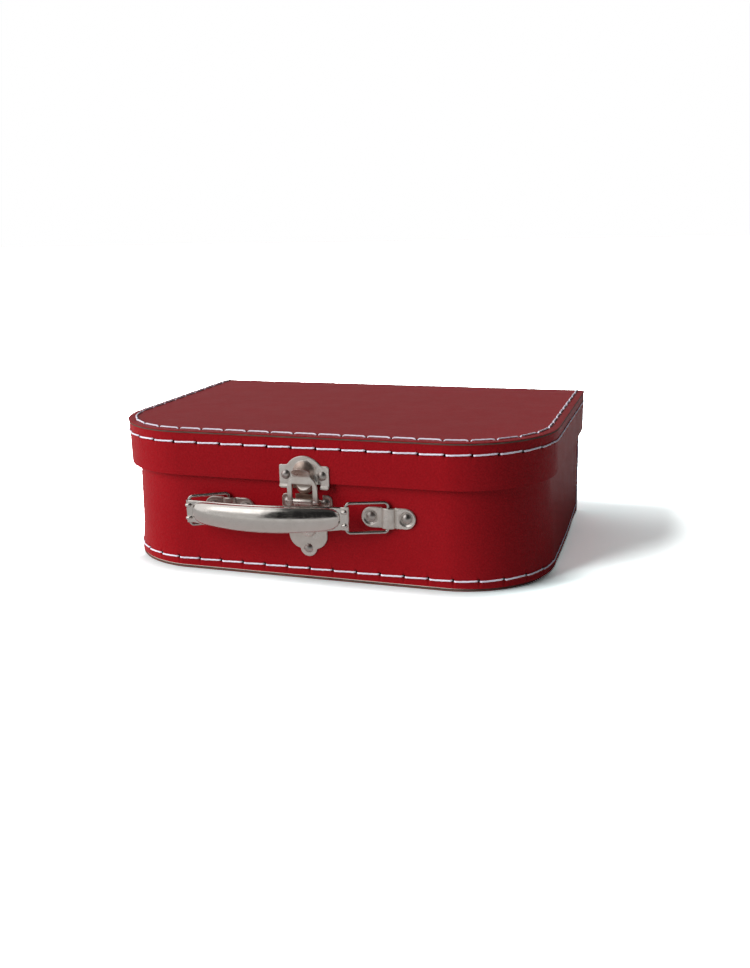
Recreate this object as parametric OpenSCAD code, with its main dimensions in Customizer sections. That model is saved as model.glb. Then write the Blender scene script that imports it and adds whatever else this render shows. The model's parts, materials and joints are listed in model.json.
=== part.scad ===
// Children's paperboard suitcase with a snap hasp lock and a folding handle.
// Lying flat: X along the width, -Y towards the lock, +Z up from the floor.
// The origin is on the floor, under the middle of the case.

/* [Case] */
// Width of the top panel
case_w = 300; // [240:1:400]
// Depth of the top panel, front to back
case_d = 200; // [170:1:280]
// Height over all
case_h = 95; // [88:1:140]
// Radius of the two front corners of the top panel
front_r = 62; // [30:1:70]
// Height of the lid from its lower edge to the top
lid_h = 30; // [26:1:32]
// How far the base wall is set back from the edge of the top panel
base_inset = 3.5; // [3:0.1:6]
// How far the top and bottom panels stand proud of their bands
panel_proud = 0.3; // [0.1:0.1:0.8]

/* [Board] */
// Thickness of the board of the top, back and bottom panels
panel_t = 1.5; // [1:0.1:2.2]
// Thickness of the board of the lid and base bands
band_t = 1.2; // [0.8:0.1:1.6]
// Thickness of the leather-grain cover paper
cover_t = 0.2; // [0.1:0.05:0.4]
// Thickness of the lining paper
lining_t = 0.15; // [0.1:0.05:0.3]
// Distance from the crease's axis to the edges of the boards that meet there
crease_gap = 1.1; // [1:0.05:1.6]
// Gap between the top of the base band and the lid's lining
band_gap = 0.4; // [0.3:0.1:2]

/* [Stitching] */
// Thickness of the thread
thread_d = 1.1; // [0.6:0.1:1.5]
// Distance from one stitch hole to the next
stitch_pitch = 16.2; // [12:0.1:20]
// Gap between two stitches on the surface
stitch_gap = 1.6; // [1:0.1:4]
// Height of the lid band's row below the top
lid_row_drop = 7.7; // [5:0.1:10]
// Distance of the top panel's row from its edge
top_row_in = 5.5; // [4:0.1:9]
// Height of the base band's row above the floor
base_row_z = 6.8; // [5:0.1:10]
// Distance of the rear corner rows from the back
rear_row_in = 6; // [4:0.1:9]

/* [Strike plate] */
// Thickness of the strike plate
strike_t = 0.8; // [0.5:0.1:1.2]
// Width of the strike plate over its ears
strike_w = 33.4; // [30:0.2:40]
// Height of the top of the strike's arch above the lid's lower edge
strike_rise = 17.3; // [15:0.1:18]
// Radius of the arch
strike_arch_r = 15.2; // [13:0.1:16]
// Height of the ears above the lid's lower edge
strike_ear_rise = 11.3; // [9:0.1:13]
// How far the ears reach below the lid's lower edge
strike_drop = 3.8; // [2.5:0.1:4.5]
// Spacing of the strike's two rivets
strike_rivet_x = 24.4; // [23:0.1:27]
// Radius of the catch nose
nose_r = 5.6; // [4:0.1:6]
// Half width of the pressed hood above the nose
hood_r = 7.2; // [5:0.1:8]
// How far the hood stands out of the plate
hood_out = 2.6; // [1.5:0.1:2.8]

/* [Hasp] */
// Thickness of the hasp's sheet
hasp_t = 1; // [0.6:0.1:1.2]
// Width of the hasp over its legs
hasp_w = 20.4; // [19:0.1:22]
// Width of the hasp's window
window_w = 13.8; // [13.4:0.1:15]
// Width of the finger tab
tab_w = 13.2; // [10:0.1:16]
// Length of the finger tab
tab_l = 7; // [5:0.1:9]
// Angle at which the tab leans out
tab_lean = 38; // [20:1:50]
// Radius of the hasp's hinge pin
pin_r = 0.9; // [0.7:0.05:1.1]
// Radial clearance of the hasp on its pin
pin_clear = 0.07; // [0.03:0.01:0.1]
// Height of the hinge pin's axis below the lid's lower edge
pin_drop = 11.4; // [10:0.1:13]

/* [Lock plate] */
// Thickness of the lock plate
lock_t = 0.8; // [0.5:0.1:1.2]
// Width over the lock plate's ears
lock_ear_w = 34; // [28:0.2:40]
// Height of the lock plate's ears
lock_ear_h = 10.6; // [9:0.1:12]
// Corner radius of the ears
lock_ear_r = 3.2; // [1:0.1:4]
// How far the ears' rivets lie below the pin's axis
ear_rivet_drop = 2.2; // [1.6:0.1:3]
// Width of the lock plate's body
lock_body_w = 26; // [22:0.2:30]
// Radius of the body's lower corners
lock_body_r = 9.5; // [5:0.1:10.5]
// Distance from the pin's axis down to the bottom of the lock plate's body
lock_body_drop = 34.2; // [30:0.2:38]
// Spacing of the upper two rivets
lock_rivet_x = 25.5; // [24:0.1:28]
// Radius of the round lower lobe
lobe_r = 5.7; // [4.5:0.1:7]
// How far the lobe's rivet lies below the pin's axis
lobe_drop = 32.6; // [31:0.1:36]
// Width of the spring housing
housing_w = 12.2; // [10:0.1:12.6]
// How far the housing stands out of the case
housing_out = 8; // [6:0.1:8.4]
// Distance from the pin's axis down to the bottom of the housing
housing_drop = 25; // [20:0.1:28]
// How far the housing stands out of the plate at its lower end, towards which it tapers
housing_toe = 1.2; // [1.1:0.1:3]
// Height of the housing's upper part, which doesn't taper
housing_head = 5; // [3:0.1:8]
// Thickness of the housing's sheet
housing_t = 0.8; // [0.5:0.1:1]
// Thickness of the flat spring
spring_t = 0.4; // [0.3:0.05:0.5]
// Length of the spring's foot on the plate
spring_foot = 8; // [6:0.5:10]

/* [Rivets] */
// Radius of a rivet's dome
rivet_r = 3; // [2:0.1:3.4]
// Height of a rivet's dome
rivet_h = 1.7; // [1:0.1:2.2]
// Radius of a rivet's shank
shank_r = 1.3; // [1:0.05:1.6]
// Radius of a washer under a rivet's tail
washer_r = 4; // [3:0.1:5]
// Thickness of a washer
washer_t = 0.5; // [0.3:0.1:0.8]

/* [Handle] */
// Distance between the two ring pivots of the handle
handle_l = 108; // [90:1:130]
// Height of the middle of the handle above the floor
handle_z = 44.8; // [42:0.1:46]
// Half height of the handle at its ends
end_half = 7.5; // [6:0.1:7.6]
// How much wider the handle is in the middle than at its ends, on each side
handle_swell = 2; // [0:0.1:3]
// How far the handle arches outward
handle_arch = 9; // [5:0.1:10]
// How far the grip bulges out of its rim
grip_bulge = 4.6; // [3:0.1:6]
// Width of the flat rim round the grip
rim_w = 1.5; // [1:0.1:2.5]
// Thickness of the handle's sheet
handle_t = 0.9; // [0.6:0.1:1.2]
// Length of the flat tab at each end
handle_tab_l = 6.5; // [5:0.1:8]
// Radial clearance of the handle's curls on the left ring, and of the right ring at the loop's open pivot
curl_clear = 0.1; // [0.05:0.01:0.2]

/* [Rings and clips] */
// Radius of the ring wire
wire_r = 1; // [0.8:0.05:1.2]
// Length of a ring between the axes of its two upright wires
ring_l = 26; // [25:0.1:32]
// Height of a ring between the axes of its two long wires
ring_w = 18.6; // [18:0.1:20]
// Angle of the rings to the case at rest
ring_rest = 20.5; // [18:0.5:30]
// Height of a clip's strap
clip_w = 13.4; // [11:0.1:14]
// Distance between the two rivets of a clip
clip_rivet_x = 23.1; // [20:0.1:26]
// Thickness of the clip's sheet
clip_t = 0.9; // [0.6:0.1:1.2]
// Radius of the dished seat round a clip's rivet
seat_r = 4.2; // [3.5:0.1:4.6]

/* [Hidden] */
$fn = 64;
eps = 0.01;
front_y = -case_d / 2;
rear_y = case_d / 2;

// Skins of the panels and bands
panel_skin = panel_t + 2 * cover_t;
band_skin = cover_t + band_t + lining_t;
lid_z = case_h - lid_h;
panel_z = case_h - panel_skin;
lid_board_z = panel_z + cover_t;
lid_front = front_y + panel_proud;
base_front = front_y + base_inset;
base_side = case_w / 2 - base_inset;
base_top = panel_z - band_gap;
back_in = rear_y - panel_skin;
crease_y = rear_y - panel_skin / 2;
crease_z = case_h - panel_skin / 2;
crease_r = 0.75;

// Lock, worked out from the lid's lower edge
pin_z = lid_z - pin_drop;
strike_front = lid_front - strike_t;
hasp_back = strike_front - hood_out - 0.5;
pin_y = hasp_back + 0.1;
barrel_r = pin_r + 1;
eye_r = pin_r + 1.2;
nose_z = lid_z - 1.8;
ledge_z = nose_z + 1.1;
window_top = ledge_z + 0.6;
bend_z = window_top + 5.2;
lock_front = base_front - lock_t;
ear_rivet_z = pin_z - ear_rivet_drop;
lobe_z = pin_z - lobe_drop;

// Handle linkage. The clips are as far apart as the handle's pivots, so that the rings stay parallel.
clip_x = handle_l / 2;
clip_axis_y = base_front - wire_r - 0.15;
ring_dx = ring_l * cos(ring_rest);
ring_dy = ring_l * sin(ring_rest);
handle_x = -ring_dx;
handle_y = clip_axis_y - ring_dy;
curl_in = wire_r + curl_clear;
curl_out = curl_in + handle_t;

// Colours as the photo shows them
RED = [0.55, 0.07, 0.09];
EDGE = [0.47, 0.40, 0.36];
PAPER = [0.90, 0.87, 0.80];
THREAD = [0.90, 0.90, 0.96];
NICKEL = [0.72, 0.69, 0.66];
STEEL = [0.60, 0.60, 0.60];

// Outline of the case set in by inset: square rear corners, round front corners
module outline(inset = 0, rear = 0) {
  w = case_w - 2 * inset;
  y0 = front_y + inset;
  r = front_r - inset;
  translate([-w / 2, y0 + r]) square([w, rear_y - rear - y0 - r]);
  translate([-w / 2 + r, y0]) square([w - 2 * r, r + eps]);
  for (s = [-1, 1]) translate([s * (w / 2 - r), y0 + r]) circle(r, $fn = 128);
}

// U-shaped wall between two insets, open at the rear
module wall(outer, inner, z0, z1, rear = 0) {
  translate([0, 0, z0]) linear_extrude(z1 - z0) difference() {
    outline(outer, rear);
    outline(inner, -1);
  }
}

module slab(inset, rear, z0, z1) {
  translate([0, 0, z0]) linear_extrude(z1 - z0) outline(inset, rear);
}

module rounded_rect(w, h, r) {
  translate([-w / 2 + r, -h / 2]) square([w - 2 * r, h]);
  translate([-w / 2, -h / 2 + r]) square([w, h - 2 * r]);
  for (sx = [-1, 1], sz = [-1, 1]) translate([sx * (w / 2 - r), sz * (h / 2 - r)]) circle(r, $fn = 48);
}

// Turns a drawing in X and Z into a plate whose back is at y and whose front is t nearer the camera
module plate(y, t) {
  translate([0, y, 0]) rotate([90, 0, 0]) linear_extrude(t) children();
}

// Lid
module lid_board() color(EDGE) slab(0, panel_skin / 2 + crease_gap, lid_board_z, lid_board_z + panel_t);
module lid_top_cover() color(RED) slab(0, panel_skin / 2 + crease_gap, case_h - cover_t, case_h);
module lid_lining() color(RED) slab(0, panel_skin / 2 + crease_gap, panel_z, lid_board_z);

module lid_wall(outer, t) {
  difference() {
    wall(panel_proud + outer, panel_proud + outer + t, lid_z, panel_z);
    for (s = [-1, 1]) rivet_hole(s * strike_rivet_x / 2, strike_rivet_z);
  }
}
module lid_band_cover() color(RED) lid_wall(0, cover_t);
module lid_band() color(EDGE) lid_wall(cover_t, band_t);
module lid_band_lining() color(PAPER) lid_wall(cover_t + band_t, lining_t);

// A stitch on the right half of a row round the U, whose line has half width hw, front yf and corner
// radius r. s0 and s1 are the stitch's ends along that line, from the middle of the front. A stitch
// that reaches past the end of a straight run is pulled straight.
module u_stitch(s0, s1, hw, yf, r) {
  corner_s = hw - r;
  side_s = corner_s + r * PI / 2;
  if (s0 < corner_s) translate([s0, yf, 0]) rotate([0, 90, 0]) cylinder(h = s1 - s0, r = thread_d / 2, $fn = 16);
  else if (s1 > side_s) translate([hw, yf + r + s0 - side_s, 0]) rotate([-90, 0, 0])
    cylinder(h = s1 - s0, r = thread_d / 2, $fn = 16);
  else translate([corner_s, yf + r, 0]) rotate([0, 0, (s0 - corner_s) / r * 180 / PI - 90])
    rotate_extrude(angle = (s1 - s0) / r * 180 / PI) translate([r, 0]) circle(thread_d / 2, $fn = 16);
}

// The row of stitches round a U. offset_in is the inset of the thread's centre line, z its height.
// A row with a middle stitch has one across the middle of the front, and the others have a hole there.
module u_row(offset_in, z, middle_stitch) {
  hw = case_w / 2 - offset_in;
  yf = front_y + offset_in;
  r = front_r - offset_in;
  half_l = hw - r + r * PI / 2 + rear_y - panel_skin - yf - r;
  first = middle_stitch ? 0.5 : 0;
  n = round(half_l / stitch_pitch - first);
  pitch = half_l / (n + first);
  translate([0, 0, z]) {
    for (m = [0, 1], i = [0:n - 1]) mirror([m, 0, 0])
      u_stitch((i + first) * pitch + stitch_gap / 2, (i + 1 + first) * pitch - stitch_gap / 2, hw, yf, r);
    if (middle_stitch) translate([0, yf, 0]) rotate([0, 90, 0])
      cylinder(h = pitch - stitch_gap, r = thread_d / 2, center = true, $fn = 16);
  }
}

module lid_thread_top() color(THREAD) u_row(top_row_in, case_h + thread_d / 2, true);
module lid_thread_side() color(THREAD) u_row(panel_proud - thread_d / 2, case_h - lid_row_drop, true);

// A rivet pointing out of the case: dome, shank and clenched tail. y is the seat of its dome,
// depth the distance from there to the inside face of its washer.
module rivet(x, y, z, depth, r = rivet_r) {
  ball = (r * r + rivet_h * rivet_h) / (2 * rivet_h);
  translate([x, y, z]) rotate([90, 0, 0]) {
    intersection() {
      translate([0, 0, rivet_h - ball]) sphere(ball, $fn = 48);
      cylinder(h = rivet_h + 1, r = r);
    }
    translate([0, 0, -depth]) cylinder(h = depth + eps, r = shank_r, $fn = 32);
    translate([0, 0, -depth - 0.6]) cylinder(h = 0.6, r1 = shank_r + 0.2, r2 = shank_r + 0.7, $fn = 32);
  }
}

// The hole that a rivet leaves in what it passes through
module rivet_hole(x, z) {
  translate([x, 0, z]) rotate([90, 0, 0]) cylinder(h = case_d, r = shank_r, $fn = 32);
}

module washer(x, y, z) {
  translate([x, y, z]) rotate([-90, 0, 0]) difference() {
    cylinder(h = washer_t, r = washer_r);
    translate([0, 0, -1]) cylinder(h = washer_t + 2, r = shank_r, $fn = 32);
  }
}

// Base
module base_slab(z0, z1) slab(base_inset - panel_proud, panel_skin, z0, z1);
module bottom_cover() color(RED) base_slab(0, cover_t);
module bottom_board() color(EDGE) base_slab(cover_t, cover_t + panel_t);
module bottom_lining() color(PAPER) base_slab(cover_t + panel_t, panel_skin);

// A sheet of the back panel, from y0 towards the rear
module back_sheet(y0, t) {
  w = 2 * (base_side + panel_proud);
  translate([-w / 2, y0, 0]) cube([w, t, crease_z - crease_gap]);
}
module back_lining() color(PAPER) back_sheet(back_in, cover_t);
module back_board() color(EDGE) back_sheet(back_in + cover_t, panel_t);
module back_cover() color(RED) back_sheet(rear_y - cover_t, cover_t);

module base_wall(outer, t) {
  difference() {
    wall(base_inset + outer, base_inset + outer + t, panel_skin, base_top, panel_skin);
    base_holes();
  }
}
module base_band_cover() color(RED) base_wall(0, cover_t);
module base_band() color(EDGE) base_wall(cover_t, band_t);
module base_band_lining() color(PAPER) base_wall(cover_t + band_t, lining_t);

module hinge_crease() color(RED)
  translate([-base_side, crease_y, crease_z]) rotate([0, 90, 0]) cylinder(h = 2 * base_side, r = crease_r);

module base_thread() color(THREAD) u_row(base_inset - thread_d / 2, base_row_z, false);

// Rows up the rear corners, on the side walls and on the back
module rear_thread() color(THREAD) {
  n = floor((base_top - base_row_z) / stitch_pitch);
  for (s = [-1, 1], i = [0:n - 1]) {
    z = base_row_z + i * stitch_pitch + stitch_gap;
    translate([s * (base_side + thread_d / 2), back_in - rear_row_in, z])
      cylinder(h = stitch_pitch - stitch_gap, r = thread_d / 2, $fn = 16);
    translate([s * (base_side - rear_row_in), rear_y + thread_d / 2, z])
      cylinder(h = stitch_pitch - stitch_gap, r = thread_d / 2, $fn = 16);
  }
}

// Strike plate on the lid
strike_ear_z0 = lid_z - strike_drop;
strike_ear_z1 = lid_z + strike_ear_rise;
strike_rivet_z = lid_z + 4.9;
hood_z = lid_z + 7.1;

module strike_outline() {
  difference() {
    translate([0, (strike_ear_z0 + strike_ear_z1) / 2])
      rounded_rect(strike_w, strike_ear_z1 - strike_ear_z0, 2.2);
    for (s = [-1, 1]) translate([s * (nose_r + hasp_w / 2 + 0.6) / 2, strike_ear_z0])
      square([hasp_w / 2 + 0.6 - nose_r, 2 * (strike_drop - 0.8)], center = true);
  }
  intersection() {
    translate([0, lid_z + strike_rise - strike_arch_r]) circle(strike_arch_r, $fn = 96);
    translate([-strike_w / 2, lid_z + 4]) square([strike_w, strike_rise]);
  }
  translate([0, nose_z]) circle(nose_r);
}

// Everything in front of the strike plate's face
module in_front_of_strike() {
  intersection() {
    children();
    translate([-20, strike_front - 20 + eps, nose_z - 20]) cube([40, 20, 40]);
  }
}

module strike_plate() color(NICKEL) {
  ball = (hood_r * hood_r + hood_out * hood_out) / (2 * hood_out);
  difference() {
    plate(lid_front, strike_t) strike_outline();
    for (s = [-1, 1]) rivet_hole(s * strike_rivet_x / 2, strike_rivet_z);
  }
  in_front_of_strike() translate([0, strike_front - hood_out + ball, 0]) {
    translate([0, 0, hood_z]) sphere(ball, $fn = 96);
    translate([0, 0, ledge_z]) cylinder(h = hood_z - ledge_z, r = ball, $fn = 96);
  }
  in_front_of_strike() intersection() {
    translate([0, strike_front, nose_z]) sphere(nose_r);
    translate([-10, strike_front - 10, nose_z - 10]) cube([20, 20, 10 + ledge_z - nose_z]);
  }
  bead_l = strike_w / 2 - hasp_w / 2 - 1.4;
  for (s = [-1, 1]) translate([s * (hasp_w / 2 + 0.8 + bead_l / 2), strike_front, lid_z - 1.2])
    rotate([0, 90, 0]) cylinder(h = bead_l, r = 0.7, center = true, $fn = 32);
}

module strike_rivets() color(STEEL)
  for (s = [-1, 1])
    rivet(s * strike_rivet_x / 2, strike_front, strike_rivet_z, strike_t + band_skin + washer_t);
module strike_washers() color(STEEL)
  for (s = [-1, 1]) washer(s * strike_rivet_x / 2, lid_front + band_skin, strike_rivet_z);

// Places of the base's rivets, as [x, z]
lock_rivet_at = [[-lock_rivet_x / 2, ear_rivet_z], [lock_rivet_x / 2, ear_rivet_z], [0, lobe_z]];
clip_rivet_at = [for (s = [-1, 1], t = [-1, 1]) [s * clip_x + t * clip_rivet_x / 2, handle_z]];

module base_holes() {
  for (p = concat(lock_rivet_at, clip_rivet_at)) rivet_hole(p[0], p[1]);
}

// Lock plate, with the housing of the flat spring on it
module lock_plate() color(NICKEL) {
  body_z0 = pin_z - lock_body_drop;
  body_z1 = ear_rivet_z + lock_ear_h / 2;
  difference() {
    plate(base_front, lock_t) {
      translate([0, ear_rivet_z]) rounded_rect(lock_ear_w, lock_ear_h, lock_ear_r);
      translate([0, (body_z0 + body_z1) / 2]) rounded_rect(lock_body_w, body_z1 - body_z0, lock_body_r);
      translate([0, lobe_z]) circle(lobe_r);
    }
    for (p = lock_rivet_at) rivet_hole(p[0], p[1]);
  }
}

module housing_outline(inset, top) {
  r = housing_w / 2 - inset;
  z0 = pin_z - housing_drop + housing_w / 2;
  translate([-r, z0]) square([2 * r, top - z0]);
  translate([0, z0]) circle(r);
}

// The housing seen from its side, moved in by inset from its front: upright above, tapering below
module housing_side(inset) {
  depth = housing_out - lock_t;
  rotate([90, 0, 90]) translate([0, 0, -20]) linear_extrude(40)
    polygon([
      [base_front + 5, pin_z + 5], [lock_front - depth + inset, pin_z + 5],
      [lock_front - depth + inset, pin_z - housing_head],
      [lock_front - housing_toe + inset, pin_z - housing_drop - eps], [base_front + 5, pin_z - housing_drop - eps]
    ]);
}

module lock_housing() color(NICKEL) {
  depth = housing_out - lock_t;
  difference() {
    intersection() {
      plate(lock_front, depth) housing_outline(0, pin_z);
      housing_side(0);
    }
    intersection() {
      plate(lock_front + eps, depth) housing_outline(housing_t, pin_z - housing_t);
      housing_side(housing_t);
    }
    pin_axis(housing_w + 2, barrel_r - eps);
  }
  difference() {
    pin_axis(housing_w, barrel_r);
    pin_axis(housing_w + 2, pin_r);
  }
}

module pin_axis(l, r) {
  translate([0, pin_y, pin_z]) rotate([0, 90, 0]) cylinder(h = l, r = r, center = true, $fn = 48);
}

// Flat spring: lies on the plate, then leans out to bear on the barrel from behind
module lock_spring() color(STEEL) {
  spring_w = housing_w - 2 * housing_t - 2;
  foot = pin_z - housing_drop + housing_w / 2;
  reach = pin_y + barrel_r + 0.1;
  back = lock_front - 0.05;
  translate([-spring_w / 2, 0, 0]) rotate([90, 0, 90]) linear_extrude(spring_w)
    polygon([
      [back, foot], [back, foot + spring_foot], [reach + spring_t, pin_z - 2.5], [reach, pin_z - 2.5],
      [back - spring_t, foot + spring_foot], [back - spring_t, foot]
    ]);
}

module hasp_pin() color(STEEL) {
  pin_axis(hasp_w + 0.3, pin_r);
  for (s = [-1, 1]) translate([s * (hasp_w / 2 + 0.15 + 0.3), 0, 0]) pin_axis(0.6, pin_r + 0.6);
}

module lock_rivets() color(STEEL)
  for (p = lock_rivet_at) rivet(p[0], lock_front, p[1], lock_t + band_skin + washer_t);
module lock_washers() color(STEEL)
  for (p = lock_rivet_at) washer(p[0], base_front + band_skin, p[1]);

// Hasp, closed over the nose
module hasp() color(NICKEL) {
  leg_x = hasp_w / 2;
  win_x = window_w / 2;
  difference() {
    union() {
      plate(hasp_back, hasp_t) difference() {
        polygon([
          [-leg_x, pin_z], [-leg_x, lid_z + 0.2], [-tab_w / 2 - 0.4, bend_z], [tab_w / 2 + 0.4, bend_z],
          [leg_x, lid_z + 0.2], [leg_x, pin_z]
        ]);
        translate([-win_x, pin_z - 1]) square([window_w, window_top - pin_z + 1]);
      }
      for (s = [-1, 1]) translate([s * (leg_x + win_x) / 2, 0, 0]) pin_axis(leg_x - win_x, eye_r);
    }
    pin_axis(hasp_w + 2, pin_r + pin_clear);
  }
  translate([0, hasp_back, bend_z]) rotate([tab_lean, 0, 0]) difference() {
    plate(0, hasp_t) {
      translate([-tab_w / 2, 0]) square([tab_w, tab_l - 3.5]);
      intersection() {
        translate([0, tab_l - 8.5]) circle(8.5, $fn = 96);
        translate([-tab_w / 2, tab_l - 3.5 - eps]) square([tab_w, 4]);
      }
    }
    translate([0, -hasp_t - 17.6, tab_l / 2 - 0.3]) sphere(18, $fn = 96);
  }
}

// Clips: a strap with a channel over the ring's wire and a dished seat for each rivet
clip_channel = 2 * wire_r + 0.4;
clip_dish = 0.35;
module clip(x) color(NICKEL) {
  half = clip_rivet_x / 2 + 6;
  top = clip_channel + clip_t;
  inner = wire_r + 0.3;
  difference() {
    intersection() {
      translate([x, base_front, handle_z - clip_w / 2]) linear_extrude(clip_w)
        polygon([
          [-half, 0], [-half, -clip_t], [-inner - 2.8, -clip_t], [-inner - 1.4, -top], [inner + 1.4, -top],
          [inner + 2.8, -clip_t], [half, -clip_t], [half, 0], [inner + 1.9, 0], [inner + 0.6, -clip_channel],
          [-inner - 0.6, -clip_channel], [-inner - 1.9, 0]
        ]);
      plate(base_front + 1, 10) translate([x, handle_z]) rounded_rect(2 * half, clip_w, clip_w / 2 - eps);
    }
    for (t = [-1, 1]) {
      rivet_hole(x + t * clip_rivet_x / 2, handle_z);
      translate([x + t * clip_rivet_x / 2, base_front - clip_t + clip_dish, handle_z])
        rotate([90, 0, 0]) cylinder(h = 4, r = seat_r - 0.5, $fn = 48);
    }
  }
}
module clip_left() clip(-clip_x);
module clip_right() clip(clip_x);

module clip_rivets() color(STEEL)
  for (p = clip_rivet_at)
    rivet(p[0], base_front - clip_t + clip_dish, p[1], clip_t - clip_dish + band_skin + washer_t);
module clip_washers() color(STEEL)
  for (p = clip_rivet_at) washer(p[0], base_front + band_skin, p[1]);

// A rectangular ring of wire, its captured wire on the local Z axis and its far one at x = ring_l
bend_r = 2;
module ring(x) color(STEEL) {
  h = ring_w / 2;
  translate([x, clip_axis_y, handle_z]) rotate([0, 0, 180 + ring_rest]) {
    for (s = [-1, 1]) translate([bend_r, 0, s * h]) rotate([0, 90, 0])
      cylinder(h = ring_l - 2 * bend_r, r = wire_r, $fn = 32);
    for (u = [0, ring_l]) translate([u, 0, bend_r - h]) cylinder(h = ring_w - 2 * bend_r, r = wire_r, $fn = 32);
    for (c = [[ring_l - bend_r, h - bend_r, 0], [bend_r, h - bend_r, 90],
              [bend_r, bend_r - h, 180], [ring_l - bend_r, bend_r - h, 270]])
      translate([c[0], 0, c[1]]) rotate([90, 0, 0]) rotate([0, 0, c[2]])
        rotate_extrude(angle = 90) translate([bend_r, 0]) circle(wire_r, $fn = 32);
  }
}
module ring_left() ring(-clip_x);
module ring_right() ring(clip_x);

// Handle: a pressed sheet with an arched, bulging grip and a tab curled round a ring at each end.
// u runs along the handle from its middle, v outward from the ring pivots, s from -1 to 1 across it.
grip_half = handle_l / 2 - 3;
bulge_half = handle_l / 2 - handle_tab_l;
function arch_at(u) = handle_arch * pow(1 - pow(u / grip_half, 2), 1.2);
function half_at(u) = end_half + handle_swell * (1 - pow(u / grip_half, 2));
function bulge_at(u) =
  abs(u) < bulge_half ? grip_bulge * sqrt(1 - pow(abs(u) / bulge_half, 4)) : 0;
function dome_at(u, s) = let(q = s * half_at(u) / (half_at(u) - rim_w)) abs(q) < 1 ? sqrt(1 - q * q) : 0;
function grip_point(u, s, back) =
  [u, back - curl_out - arch_at(u) - bulge_at(u) * dome_at(u, s), s * half_at(u)];

module grip() {
  nu = 44;
  ns = 18;
  us = [for (i = [0:nu]) grip_half * sin(90 * (2 * i / nu - 1))];
  ss = [for (j = [0:ns]) sin(90 * (2 * j / ns - 1))];
  points = [for (back = [0, handle_t]) for (u = us) for (s = ss) grip_point(u, s, back)];
  layer = (nu + 1) * (ns + 1);
  row = ns + 1;
  quads = concat(
    [for (i = [0:nu - 1], j = [0:ns - 1]) [i * row + j, (i + 1) * row + j, (i + 1) * row + j + 1, i * row + j + 1]],
    [for (i = [0:nu - 1], j = [0:ns - 1])
      [layer + i * row + j + 1, layer + (i + 1) * row + j + 1, layer + (i + 1) * row + j, layer + i * row + j]],
    [for (i = [0:nu - 1]) [i * row, layer + i * row, layer + (i + 1) * row, (i + 1) * row]],
    [for (i = [0:nu - 1]) [i * row + ns, (i + 1) * row + ns, layer + (i + 1) * row + ns, layer + i * row + ns]],
    [for (j = [0:ns - 1]) [j, j + 1, layer + j + 1, layer + j]],
    [for (j = [0:ns - 1]) [nu * row + j, layer + nu * row + j, layer + nu * row + j + 1, nu * row + j + 1]]
  );
  faces = [for (q = quads) each [[q[0], q[2], q[1]], [q[0], q[3], q[2]]]];
  polyhedron(points, faces);
}

module handle() color(NICKEL) translate([handle_x, handle_y, handle_z]) {
  grip();
  for (s = [-1, 1]) difference() {
    union() {
      translate([s > 0 ? grip_half - 1 : -handle_l / 2, -curl_out, -end_half])
        cube([handle_l / 2 - grip_half + 1, handle_t, 2 * end_half]);
      translate([s * handle_l / 2, 0, -end_half]) cylinder(h = 2 * end_half, r = curl_out, $fn = 48);
      for (t = [-1, 1]) translate([s * (handle_l / 2 - 1), -curl_out + 0.5, t * 4.3]) rotate([0, 90, 0])
        cylinder(h = 3, r = 1.3, center = true, $fn = 32);
    }
    translate([s * handle_l / 2, 0, -end_half - 1]) cylinder(h = 2 * end_half + 2, r = curl_in, $fn = 48);
  }
}

lid_board();
lid_top_cover();
lid_lining();
lid_band();
lid_band_cover();
lid_band_lining();
lid_thread_top();
lid_thread_side();
strike_plate();
strike_rivets();
strike_washers();
bottom_board();
bottom_cover();
bottom_lining();
back_board();
back_cover();
back_lining();
base_band();
base_band_cover();
base_band_lining();
base_thread();
rear_thread();
hinge_crease();
lock_plate();
lock_housing();
lock_spring();
hasp_pin();
lock_rivets();
lock_washers();
clip_left();
clip_right();
clip_rivets();
clip_washers();
hasp();
ring_left();
ring_right();
handle();
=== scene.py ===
import json
from math import ceil, copysign, cos, exp, hypot, pi, radians, sin, sqrt, tan, tanh

import bpy
from mathutils import Matrix, Vector, noise

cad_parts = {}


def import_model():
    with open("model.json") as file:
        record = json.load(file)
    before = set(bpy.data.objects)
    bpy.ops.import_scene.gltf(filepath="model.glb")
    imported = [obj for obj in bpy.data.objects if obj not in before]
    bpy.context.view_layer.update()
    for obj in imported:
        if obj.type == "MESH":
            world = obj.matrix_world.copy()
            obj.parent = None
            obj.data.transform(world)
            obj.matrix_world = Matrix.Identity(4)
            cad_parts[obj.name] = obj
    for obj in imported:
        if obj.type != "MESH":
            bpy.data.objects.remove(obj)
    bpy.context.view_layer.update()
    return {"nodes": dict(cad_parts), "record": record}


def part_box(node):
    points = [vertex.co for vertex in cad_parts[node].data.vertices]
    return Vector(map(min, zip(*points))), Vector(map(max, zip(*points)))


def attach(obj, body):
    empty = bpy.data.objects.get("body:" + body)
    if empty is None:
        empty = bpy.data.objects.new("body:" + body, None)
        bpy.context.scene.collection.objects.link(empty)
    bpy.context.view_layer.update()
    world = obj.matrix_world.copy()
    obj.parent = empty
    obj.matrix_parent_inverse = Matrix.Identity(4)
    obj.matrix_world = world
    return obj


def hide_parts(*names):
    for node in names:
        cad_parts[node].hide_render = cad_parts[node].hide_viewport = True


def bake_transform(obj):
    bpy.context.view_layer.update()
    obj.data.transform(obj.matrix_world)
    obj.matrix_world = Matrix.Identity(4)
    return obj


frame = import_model()
MM = 0.001
scene = bpy.context.scene

# Camera at the photograph's viewing angle
CAMERA_AT = (231.6, -662.1, 224.1)
CAMERA_YAW_PITCH_ROLL = (-18.211, 14.876, -1.319)
FOCAL_PX = 998.6
IMAGE_LONG_SIDE_PX = 968
SENSOR = 36


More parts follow.
